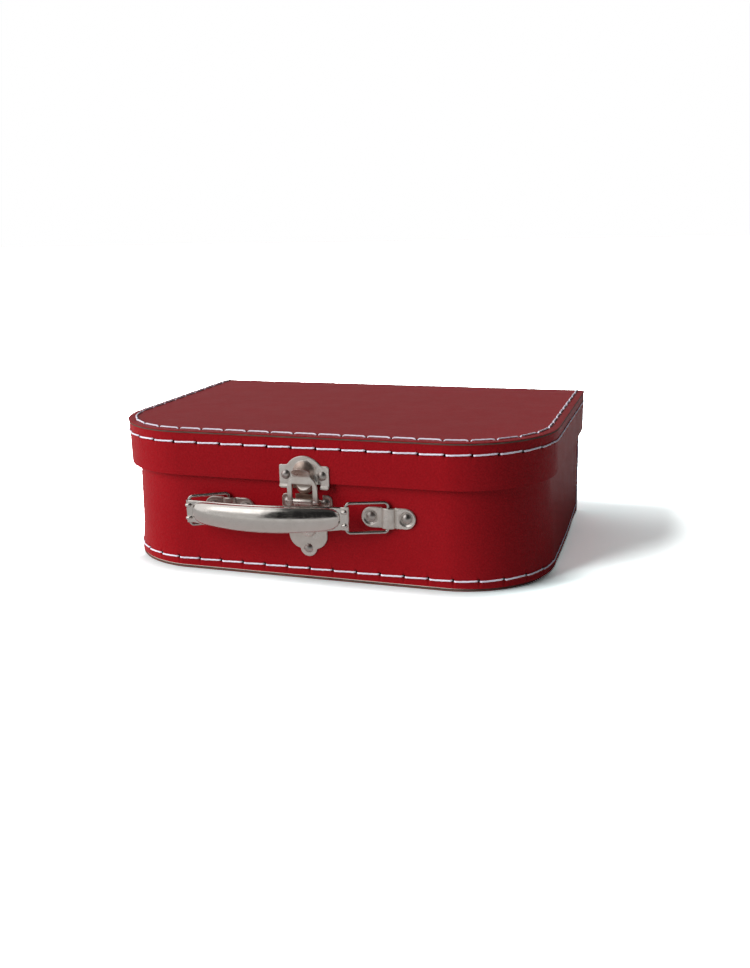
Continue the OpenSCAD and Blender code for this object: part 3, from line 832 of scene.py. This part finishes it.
def pressed(name, outline, box, front, back, body, node, step=0.3, tarnish_and_shade=None):
    """A sheet-metal piece whose front and back are given as Y over its outline in X and Z. Its last argument
    gives the darkness painted on its plating from 0 to 1: tarnish, and painted shade where light falls less."""
    flat, faces = covered(outline, box, step)
    points = [Vector((x, front(x, z, min(0, outline(x, z))), z)) for x, z in flat]
    points, faces = thicken(points, faces, [Vector((x, back(x, z), z)) for x, z in flat])
    layers = {"tarnish_and_shade": [tarnish_and_shade(x, z) for x, z in flat] + [0] * len(flat)} if tarnish_and_shade else None
    part(name, points, faces, "nickel_sheet", body, node, layers, sharp=50)


_, strike_hi = box_mm("strike_plate")
_, hasp_hi = box_mm("hasp")
lock_lo, lock_hi = box_mm("lock_plate")
housing_lo, housing_hi = box_mm("lock_housing")
pin_lo, pin_hi = box_mm("hasp_pin")
handle_lo, handle_hi = box_mm("handle")

LID_FRONT = lid_band_lo.y
STRIKE_FRONT = LID_FRONT - 0.8
HASP_BACK = STRIKE_FRONT - 3.1
BASE_FRONT = base_band_lo.y
LOCK_FRONT = lock_lo.y
PIN_Y = (pin_lo.y + pin_hi.y) / 2
PIN_Z = (pin_lo.z + pin_hi.z) / 2
HANDLE_Z = (handle_lo.z + handle_hi.z) / 2
HOUSING_OUT = 7.2
HOUSING_TOE = 1.2
NOSE_Z = LID_Z - 1.8
NOSE_R = 5.6
LEDGE_Z = NOSE_Z + 1.1
BEND_Z = LEDGE_Z + 5.8
TAB_LEAN = radians(38)


def strike_plate():
    """A plate with ears and an arch, a hood that ends over the catch nose, and a curled lower edge"""
    low, ears_top, ears_w = LID_Z - 3.8, LID_Z + 11.3, 33.4
    arch_r, notch_x, notch_w = 13.5, 9.3, 3.0
    hood_z, hood_out, hood_half, hood_h = LID_Z + 7, 2.6, 7.2, 7.3
    ledge_h, ledge_slope = 3.6, 0.58
    lip_out, lip_groove = 1.0, 0.3

    def outline(x, z):
        ears = round_box(x, z, 0, (low + ears_top) / 2, ears_w, ears_top - low, 1.5)
        arch = max(disc(x, z, 0, strike_hi.z - arch_r, arch_r), LID_Z + 4 - z)
        notch = round_box(abs(x), z, notch_x, low, notch_w, 6.0, 0.6)
        body = max(melt(ears, arch, 1.0), -notch)
        return min(body, disc(x, z, 0, NOSE_Z, NOSE_R))

    def ledge_at(x):
        return ledge_h * (1 - (x / NOSE_R) ** 2)

    def nose_at(x, h):
        """How far the catch nose stands out at the depth h: a ledge sloping out, then a round underside"""
        if h <= 0 or abs(x) >= NOSE_R:
            return 0
        edge = ledge_at(x) + 0.1
        below = LEDGE_Z - NOSE_Z + sqrt(NOSE_R ** 2 - x * x)
        if h < edge:
            return ledge_slope * h
        return ledge_slope * edge * arc((h - edge) / (below - edge))

    def front(x, z, d):
        half = hood_half + 2.1 * smooth(hood_z, LID_Z, z)
        q = (x / half) ** 2 + (max(0, z - hood_z) / hood_h) ** 2
        hood = hood_out * max(0, 1 - q) ** 0.75 * smooth(LEDGE_Z - 0.1, LEDGE_Z + 0.2, z)
        nose = nose_at(x, LEDGE_Z - z)
        groove = lip_groove * exp(-((z - LID_Z + 0.9) / 0.35) ** 2)
        lip = (lip_out * smooth(LID_Z - 1.3, LID_Z - 2.6, z) - groove) * smooth(10.2, 10.8, abs(x))
        rim = roll(d, 0.4) if nose == 0 else 0
        return STRIKE_FRONT + rim - max(hood, nose, lip)

    def tarnish_and_shade(x, z):
        """Tarnish with painted shade on the hood, and painted shade under the ledge's edge and behind the
        hasp's window
        """
        if z > LEDGE_Z:
            q = (x / (hood_half + 0.8)) ** 2 + (max(0, z - hood_z) / (hood_h + 0.5)) ** 2
            return 0.75 * smooth(1.05, 0.6, q)
        inside = smooth(8.4, 7.6, abs(x)) * smooth(LEDGE_Z + 0.2, LEDGE_Z - 0.2, z)
        ledge = ledge_at(x)
        return 0.9 * inside * (smooth(ledge - 0.1, ledge + 0.3, LEDGE_Z - z) if abs(x) < NOSE_R else 1)

    pressed(
        "strike_pressed", outline, (-17.1, 17.1, LID_Z - 8, LID_Z + 17.6), front,
        lambda x, z: LID_FRONT, "lid", "strike_plate", 0.25, tarnish_and_shade,
    )


EYE_R = 1.25


def tab_height(z):
    return (z - BEND_Z) / cos(TAB_LEAN)


def hasp_lean(z):
    u = z - BEND_Z
    soft = 1.2
    rise = 0 if u < -soft else (u + soft) ** 2 / (4 * soft) if u < soft else u
    return rise * tan(TAB_LEAN)


def hasp():
    """A plate with a window, whose legs end in eyes on a pin and whose finger tab is bent out and dished"""
    leg, neck, shoulder_h = hasp_hi.x, 5.6, 8.5
    window_w, window_top, window_h = 13.8, LEDGE_Z + 0.6, 20
    tab_half, tab_mid, tab_h = 6.2, 3.4, 3.5
    thick = 1.0
    dish_half, dish_h, dish_deep = 5.6, 3.1, 0.6

    def outline(x, z):
        below = min(1, max(0, (BEND_Z - z) / shoulder_h))
        half = neck + (leg - neck) * (1 - (1 - below) ** 2.2)
        body = max(abs(x) - half, PIN_Z - EYE_R - z, z - BEND_Z - 1.2)
        end = (hypot(x / tab_half, (tab_height(z) - tab_mid) / tab_h) - 1) * tab_h
        window = round_box(x, z, 0, window_top - window_h / 2, window_w, window_h, 0.7)
        return max(melt(body, end, 0.8), -window)

    def front(x, z, d):
        q = (x / dish_half) ** 2 + ((tab_height(z) - tab_mid) / dish_h) ** 2
        dish = dish_deep * max(0, 1 - q)
        return HASP_BACK - thick - hasp_lean(z) + roll(d, 0.35) + dish

    def tarnish_and_shade(x, z):
        # Painted shade and painted reflection on the dished finger tab, stronger towards its left
        q = (x / 6.0) ** 2 + ((tab_height(z) - tab_mid) / 3.4) ** 2
        return smooth(1.1, 0.8, q) * (0.85 - 0.45 * smooth(0, 5, x))

    pressed(
        "hasp_pressed", outline, (-10.5, 10.5, PIN_Z - EYE_R - 0.4, BEND_Z + 6), front,
        lambda x, z: HASP_BACK - hasp_lean(z), "hasp", "hasp", 0.25, tarnish_and_shade,
    )
    for side, label in SIDES:
        barrel("hasp_" + label + "_eye", side * 6.95, side * leg, EYE_R, "hasp")
    pin = leg + 0.15
    barrel("hinge_pin", -pin, pin, 0.85, "base", "nickel_rivet", "hasp_pin")


def barrel(name, x0, x1, r, body, slot="nickel_sheet", node=None):
    """A rolled sheet-metal barrel along the hinge pin's axis, with eased ends"""
    x0, x1 = min(x0, x1), max(x0, x1)
    bore, edge, sides = r * 0.5, 0.25, 40
    eased = [(edge * (1 - cos(a)), r - edge + edge * sin(a)) for a in (0, 0.5, 1.1, pi / 2)]
    profile = [(x0, bore)] + [(x0 + u, radius) for u, radius in eased]
    profile += [(x1 - u, radius) for u, radius in reversed(eased)] + [(x1, bore)]
    points = [Vector((x, PIN_Y + q * c, PIN_Z + q * s)) for x, q in profile for c, s in circle(sides)]
    faces = grid_faces(len(profile), sides, closed=True, ring=True)
    part(name, points, faces, slot, body, node, sharp=50)


EAR_X = 12.75
EAR_Z = PIN_Z - 2.2
LOBE_Z = PIN_Z - 32.6


def lock_plate():
    """A plate with two ears, a round lower lobe and notches for the hasp's legs"""
    ears_w, ears_h = 34, 10.6
    body_w, body_low = 26, PIN_Z - 33.4
    notch_x, notch_w, notch_h, notch_low = 9.2, 3.0, 18.4, PIN_Z - 0.2
    lobe_r = 5.7

    def outline(x, z):
        ears = round_box(x, z, 0, EAR_Z, ears_w, ears_h, 3.2)
        body = round_box(x, z, 0, (lock_hi.z + body_low) / 2, body_w, lock_hi.z - body_low, 9.5)
        notch = round_box(abs(x), z, notch_x, notch_low + notch_h / 2, notch_w, notch_h, 0.8)
        return max(melt(melt(ears, body, 1.2), disc(x, z, 0, LOBE_Z, lobe_r), 0.4), -notch)

    def tarnish_and_shade(x, z):
        """Painted shade behind the hasp's window and, less so, over the plate's upper left"""
        behind = smooth(8.4, 7.6, abs(x)) * smooth(PIN_Z - 6, PIN_Z - 2, z)
        return max(behind, 0.45 * smooth(PIN_Z - 9, PIN_Z - 5, z) * (1 - 0.7 * smooth(12, 14, x)))

    pressed(
        "lock_plate_pressed", outline, (-17.4, 17.4, lock_lo.z - 0.4, lock_hi.z + 0.4),
        lambda x, z, d: LOCK_FRONT + roll(d, 0.5), lambda x, z: BASE_FRONT,
        "base", "lock_plate", 0.35, tarnish_and_shade,
    )


def lock_housing():
    """The spring's housing: upright above, tapering towards its round lower end"""
    half = housing_hi.x
    low = housing_lo.z + half
    head_z = PIN_Z - 5

    def outline(x, z):
        shaft = max(abs(x) - half, z - PIN_Z, low - z)
        return min(shaft, disc(x, z, 0, low, half))

    def front(x, z, d):
        rise = min(1, (z - housing_lo.z) / (head_z - housing_lo.z))
        height = HOUSING_TOE + (HOUSING_OUT - HOUSING_TOE) * rise
        edge = d if z < PIN_Z - 2 else abs(x) - half
        return LOCK_FRONT - height + roll(edge, min(1.4, 0.75 * height))

    pressed(
        "housing_pressed", outline, (-6.4, 6.4, housing_lo.z - 0.3, PIN_Z + 0.1), front,
        lambda x, z: LOCK_FRONT, "base", "lock_housing",
    )
    barrel("housing_barrel", -half, half, 1.9, "base")


CLIP_X = 54
CLIP_RIVET = 23.1 / 2
CLIP_T = 0.9
CLIP_CHANNEL = 2.4
CLIP_RIM = 0.35
CLIP_DISH = 0.85


def clip(label, cx):
    """A strap with a ridge over the ring's wire and a deep dish round each rivet"""
    half_l, half_h, ridge_half = CLIP_RIVET + 6, 6.7, 4.3

    def outline(x, z):
        return round_box(x, z, cx, HANDLE_Z, 2 * half_l, 2 * half_h, half_h - 0.01)

    def arch(x):
        return CLIP_CHANNEL * arc((x - cx) / ridge_half)

    def front(x, z, d):
        rho = hypot(abs(x - cx) - CLIP_RIVET, z - HANDLE_Z)
        raised = CLIP_RIM * smooth(ridge_half + 0.1, 6.0, abs(x - cx))
        dish = CLIP_DISH * smooth(5.0, 3.6, rho)
        return BASE_FRONT - CLIP_T - arch(x) - raised + dish + roll(d, 0.5)

    pressed(
        "clip_" + label + "_pressed", outline, (cx - 18.2, cx + 18.2, HANDLE_Z - 7, HANDLE_Z + 7), front,
        lambda x, z: BASE_FRONT - arch(x), "base", "clip_" + label,
    )


def lathe(profile, centre, sides=48):
    """Points and faces of a round piece about the Y axis. profile holds (radius, depth) from its tip on."""
    points = [centre + Vector((0, profile[0][1], 0))]
    for radius, depth in profile[1:-1]:
        points += [centre + Vector((radius * c, depth, radius * s)) for c, s in circle(sides)]
    points.append(centre + Vector((0, profile[-1][1], 0)))
    rows = len(profile) - 2
    faces = [(0, 1 + j, 1 + (j + 1) % sides) for j in range(sides)]
    faces += turned(grid_faces(rows, sides, closed=True, start=1))
    end, last = 1 + (rows - 1) * sides, len(points) - 1
    faces += [(end + (j + 1) % sides, end + j, last) for j in range(sides)]
    return points, faces


def rivets(name, seats, depth, body, node, r=3.1, h=1.7):
    """Dome rivets with their shanks and clenched tails"""
    shank = 1.3
    ball = (r * r + h * h) / (2 * h)
    dome = [(0, -h)]
    for k in range(1, 13):
        radius = r * k / 12
        dome.append((radius, ball - h - sqrt(ball * ball - radius * radius)))
    profile = dome + [(r - 0.05, 0.05), (shank, 0.05), (shank, depth)]
    profile += [(shank + 0.7, depth + 0.15), (shank + 0.3, depth + 0.6), (0, depth + 0.7)]
    points, faces = join(lathe(profile, Vector(seat)) for seat in seats)
    part(name, points, faces, "nickel_rivet", body, node, sharp=55)


def all_rivets():
    wall_t, plate_t = 2.05, 0.8
    strike_x, strike_z = 12.2, LID_Z + 4.9
    strike_at = [(side * strike_x, STRIKE_FRONT, strike_z) for side in (-1, 1)]
    rivets("strike_domes", strike_at, plate_t + wall_t, "lid", "strike_rivets")
    lock_at = [(-EAR_X, LOCK_FRONT, EAR_Z), (EAR_X, LOCK_FRONT, EAR_Z), (0, LOCK_FRONT, LOBE_Z)]
    rivets("lock_domes", lock_at, plate_t + wall_t, "base", "lock_rivets")
    sheet = CLIP_T + CLIP_RIM - CLIP_DISH
    clip_at = [(s * CLIP_X + t * CLIP_RIVET, BASE_FRONT - sheet, HANDLE_Z) for s in (-1, 1) for t in (-1, 1)]
    rivets("clip_domes", clip_at, sheet + wall_t, "base", "clip_rivets", 3.5, 1.9)


RING_L = 26.0
RING_W = 19.2
RING_REST = radians(20.5)
CLIP_AXIS_Y = BASE_FRONT - 1.15
WIRE_R = 1.0
BEND_R = 2.6


def wire_ring(x, body, raised, sag):
    """A rectangle of round wire with rounded corners, from its bar in the clip to its bar in the handle.
    raised and sag set how it hangs."""
    ends, level = (RING_L - BEND_R, BEND_R), RING_W / 2 - BEND_R
    corners = [Vector(c) for c in ((ends[0], level), (ends[1], level), (ends[1], -level), (ends[0], -level))]

    def bend(corner, turn):
        return corner + BEND_R * Vector((cos(turn), sin(turn)))

    flat = []
    for k, corner in enumerate(corners):
        flat += [bend(corner, pi / 2 * (k + a / 8)) for a in range(9)]
        turn = pi / 2 * (k + 1)
        flat += [bend(corner, turn).lerp(bend(corners[(k + 1) % 4], turn), q / 8) for q in range(1, 8)]
    along = Vector((-cos(RING_REST), -sin(RING_REST), 0))
    out = Vector((along.y, -along.x, 0))
    origin = Vector((x, CLIP_AXIS_Y, HANDLE_Z + raised))
    line = [origin + along * u + lift(w + sag * u / RING_L) for u, w in flat]
    points, faces = tube(line, [out] * len(line), WIRE_R, sides=20, closed=True)
    part(body + "_wire", points, faces, "nickel_wire", body, body)


HANDLE_SLANT = 1.2
HANDLE_DROP = -0.3
HANDLE_END = Vector((-RING_L * cos(RING_REST), CLIP_AXIS_Y - RING_L * sin(RING_REST), HANDLE_Z))
HANDLE_T = 0.9
CURL_R = 2.0
END_HALF = 7.5


def hung(x, y, z):
    """A point of the handle, which hangs a little askew on its slack rings"""
    return HANDLE_END + Vector((x, y, z + HANDLE_SLANT * x / CLIP_X + HANDLE_DROP))


def handle():
    """Pressed grip: an arched sheet with a bulge, and flat tabs that curl round the rings"""
    grip_half, bulge_half = CLIP_X - 3, CLIP_X - 3.2
    swell, arch, bulge, rim = 1.5, 9, 4.6, 0.55
    steps, across = 200, 64

    def half_at(u):
        return END_HALF + swell * max(0, 1 - (u / grip_half) ** 2)

    def arch_at(u):
        return arch * max(0, 1 - (u / grip_half) ** 2) ** 1.2

    def bulge_at(u, s):
        """Height of the bulge, whose ends are steep and whose outline is rounder than the sheet's"""
        v = min(1, abs(u) / bulge_half)
        half = (half_at(u) - rim) * arc(v ** 8)
        q = s * half_at(u) / half if half > 0 else 1
        return bulge * arc(v ** 4) * arc(q)

    def grip_at(u, s):
        edge = roll(-(1 - abs(s)) * half_at(u), 0.8)
        y = -CURL_R - arch_at(u) - bulge_at(u, s)
        return hung(u, y + edge, s * half_at(u)), hung(u, y + HANDLE_T, s * half_at(u))

    def curl_at(side, turn, s):
        def at(r):
            return hung(side * (CLIP_X + r * sin(turn)), -r * cos(turn), s * END_HALF)

        return at(CURL_R), at(CURL_R - HANDLE_T)

    curl = [radians(a) for a in range(0, 241, 12)]
    stations = [(curl_at, -1, turn) for turn in curl[::-1]]
    stations += [(grip_at, sin(pi / 2 * (2 * k / steps - 1)) * CLIP_X) for k in range(steps + 1)]
    stations += [(curl_at, 1, turn) for turn in curl]
    shares = [sin(pi / 2 * (2 * j / across - 1)) for j in range(across + 1)]
    pairs = [place(*where, s) for place, *where in stations for s in shares]
    faces = grid_faces(len(stations), len(shares))
    points, faces = thicken([front for front, back in pairs], faces, [back for front, back in pairs])
    part("handle_pressed", points, turned(faces), "nickel_grip", "handle", "handle", sharp=50)


def handle_beads():
    """Two beads pressed into each tab, which follow its curl"""
    reach, bead_z, bead_r = CURL_R + 0.35, 4.3, 1.35
    steps = range(-10, 11)
    taper = [sqrt(max(0.02, 1 - (abs(k) / 10) ** 3)) for k in steps]
    beads = []
    for side in (-1, 1):
        for level in (-bead_z, bead_z):
            line, ups = [], []
            for k in steps:
                turn = radians(3.6 * max(0, k))
                u = CLIP_X - 0.26 * max(0, -k) + reach * sin(turn)
                line.append(hung(side * u, -reach * cos(turn), level))
                ups.append(Vector((side * sin(turn), -cos(turn), 0)))
            beads.append(tube(line, ups, bead_r, 16, taper=taper))
    part("handle_beads", *join(beads), "nickel_grip", "handle", sharp=60)


# Floor, background and light

# FLOOR_NEAR and FLOOR_FAR expose the floor seen directly; the stronger exposure far from the object paints
# light over its shadow. FLOOR_MIRRORED is the floor's tone in reflections, darker near the object's front as
# painted shade.
FLOOR_TONE = 0.8
FLOOR_NEAR = 5.25
FLOOR_FAR = 12.25
FLOOR_MIRRORED = (0.75, 1.05)
AMBIENT = 0.11
SUN = 1.24
SUN_FROM = Vector((-0.765, -0.50, 0.405))
SUN_SIZE = 50


def grey(tone):
    return (tone, tone, tone, 1)


def floor():
    """A pale floor. Seen directly it is exposed to white, and keeps a soft shadow to the object's right,
    which painted light cuts short; a painted contact shadow lies along the object's front, and the floor
    mirrored in front of it is painted darker.
    """
    s = Shader("floor")
    path = s.add("LightPath", {})
    where = s.add("SeparateXYZ", {"Vector": s.place})

    def beyond(axis, start, end, sign=1):
        value = s.times(where.outputs[axis], sign)
        return s.spread(value, start, end, kind="SMOOTHSTEP")

    # Painted light: the floor seen directly is exposed more farther out to the right, rear, front and left,
    # which wipes out the shadow there
    right, rear = beyond("X", 0.22, 0.44), beyond("Y", 0.04, 0.2)
    away = s.most(right, rear, beyond("Y", 0.115, 0.2, -1), beyond("X", 0.158, 0.2, -1))
    seen = s.mix(away, grey(FLOOR_NEAR), grey(FLOOR_FAR))
    # Painted contact shadow: the floor seen directly is darkened to 0.2 near the base's outline, along its
    # front and front corners
    turn_r = CORNER_R * MM
    side = s.math("SUBTRACT", s.math("ABSOLUTE", where.outputs["X"], 0), (HALF_W - BASE_INSET) * MM - turn_r)
    front = (-FRONT_Y - BASE_INSET) * MM - turn_r
    ahead = s.math("SUBTRACT", s.times(where.outputs["Y"], -1), front)
    side, ahead = s.most(side, 0), s.most(ahead, 0)
    reach = s.math("SQRT", s.math("ADD", s.times(side, side), s.times(ahead, ahead)), 0)
    apart = s.math("SUBTRACT", reach, turn_r)
    clear = s.spread(apart, -0.002, 0.045, kind="SMOOTHSTEP")
    rear_right = s.times(beyond("X", 0.11, 0.15), beyond("Y", -0.075, -0.03))
    clear = s.most(clear, beyond("X", 0.125, 0.155, -1), rear_right, beyond("Y", -0.02, 0.08))
    seen = s.mix(1, seen, s.spread(clear, 0, 1, 0.2, 1), "MULTIPLY")
    # Painted tint: the floor seen directly is made less red near the object, which takes out the red light
    # bounced from the case
    seen = s.mix(1, seen, s.mix(s.spread(apart, 0.02, 0.13), (0.87, 1, 1, 1), (0.98, 1, 1, 1)), "MULTIPLY")
    glossy = s.most(path.outputs["Is Glossy Ray"], path.outputs["Is Transmission Ray"])
    # Painted shade in reflections: the floor that the case mirrors is darker within about 200 mm of its front
    mirrored = s.spread(beyond("Y", 0.2, 0.45, -1), 0, 1, *FLOOR_MIRRORED)
    tone = s.mix(glossy, grey(FLOOR_TONE), mirrored)
    tone = s.mix(path.outputs["Is Camera Ray"], tone, seen)
    s.show_only(s.add("BsdfDiffuse", {"Color": tone}))
    far = 9000
    points = [(-far, -far, 0), (far, -far, 0), (far, far, 0), (-far, far, 0)]
    piece = mesh_object("floor", points, [(0, 1, 2, 3)], s.material)
    piece.location.z = -0.0001


def card(name, tone, corners):
    """A card outside the view, which only reflections show"""
    s = Shader(name)
    s.show_only(s.add("Emission", {"Color": grey(tone)}))
    piece = mesh_object(name, corners, [(0, 1, 2, 3)], s.material)
    piece.visible_camera = piece.visible_diffuse = piece.visible_shadow = False


def world():
    """White where it is seen directly or in the metal, and a soft light from all round elsewhere"""
    background = bpy.data.worlds.new("studio")
    scene.world = background
    s = Nodes(background)
    path = s.add("LightPath", {})
    seen = s.most(*(path.outputs["Is %s Ray" % kind] for kind in ("Camera", "Glossy", "Transmission")))
    level = s.spread(seen, 0, 1, AMBIENT, 1.0)
    s.plug(s.tree.nodes["Background"], {"Color": (1, 1, 1, 1), "Strength": level})


def sun():
    data = bpy.data.lights.new("key", "SUN")
    data.energy = SUN * pi
    data.angle = radians(SUN_SIZE)
    lamp = bpy.data.objects.new("key", data)
    lamp.visible_glossy = False
    lamp.rotation_euler = (-SUN_FROM).to_track_quat("-Z", "Y").to_euler()
    scene.collection.objects.link(lamp)


def standing(start, end, top):
    """Corners of a card that stands over the line from start to end"""
    return [(*start, 0), (*end, 0), (*end, top), (*start, top)]


def cards():
    """Cards and a soft box round the object, for the tones that the metal mirrors"""
    front, right, top = -2000, 2600, 2500
    corners = [(-780, front, 0), (right, front, 0), (right, front, top), (-680, front, top)]
    card("dark_card_front", 0.02, corners)
    strips = (
        ("dark", 0.03, front, -1300), ("grey", 0.18, -1300, -700), ("mid", 0.42, -700, -100),
        ("pale", 0.72, -100, 700),
    )
    for label, tone, y0, y1 in strips:
        card(label + "_card_right", tone, standing((right, y0), (right, y1), top))
    corners = [(-680, front, top), (right, front, top), (right, 1500, top), (-900, 1500, top)]
    card("dark_card_above", 0.05, corners)
    card("grey_card_rear", 0.3, standing((-3000, 2500), (3000, 2500), 1500))
    corners = [(-3200, front, 0), (-780, front, 0), (-850, front, 700), (-3200, front, 700)]
    card("grey_card_left", 0.6, corners)
    corners = [(-2600, -1500, 800), (-860, -1990, 800), (-760, -1500, 2200), (-2600, -900, 2200)]
    card("soft_box_left", 1.7, corners)


# The whole scene, in its order of making

make_camera()
dress_nodes()
base_walls()
lid_wall()
top_paper()
crease_paper()
all_sewing()
strike_plate()
hasp()
lock_plate()
lock_housing()
clip("left", -CLIP_X)
clip("right", CLIP_X)
all_rivets()
wire_ring(-CLIP_X, "ring_left", 0, -1.5)
wire_ring(CLIP_X, "ring_right", 0.7, 0.2)
handle()
handle_beads()
floor()
cards()
world()
sun()

scene.view_settings.view_transform = "Standard"
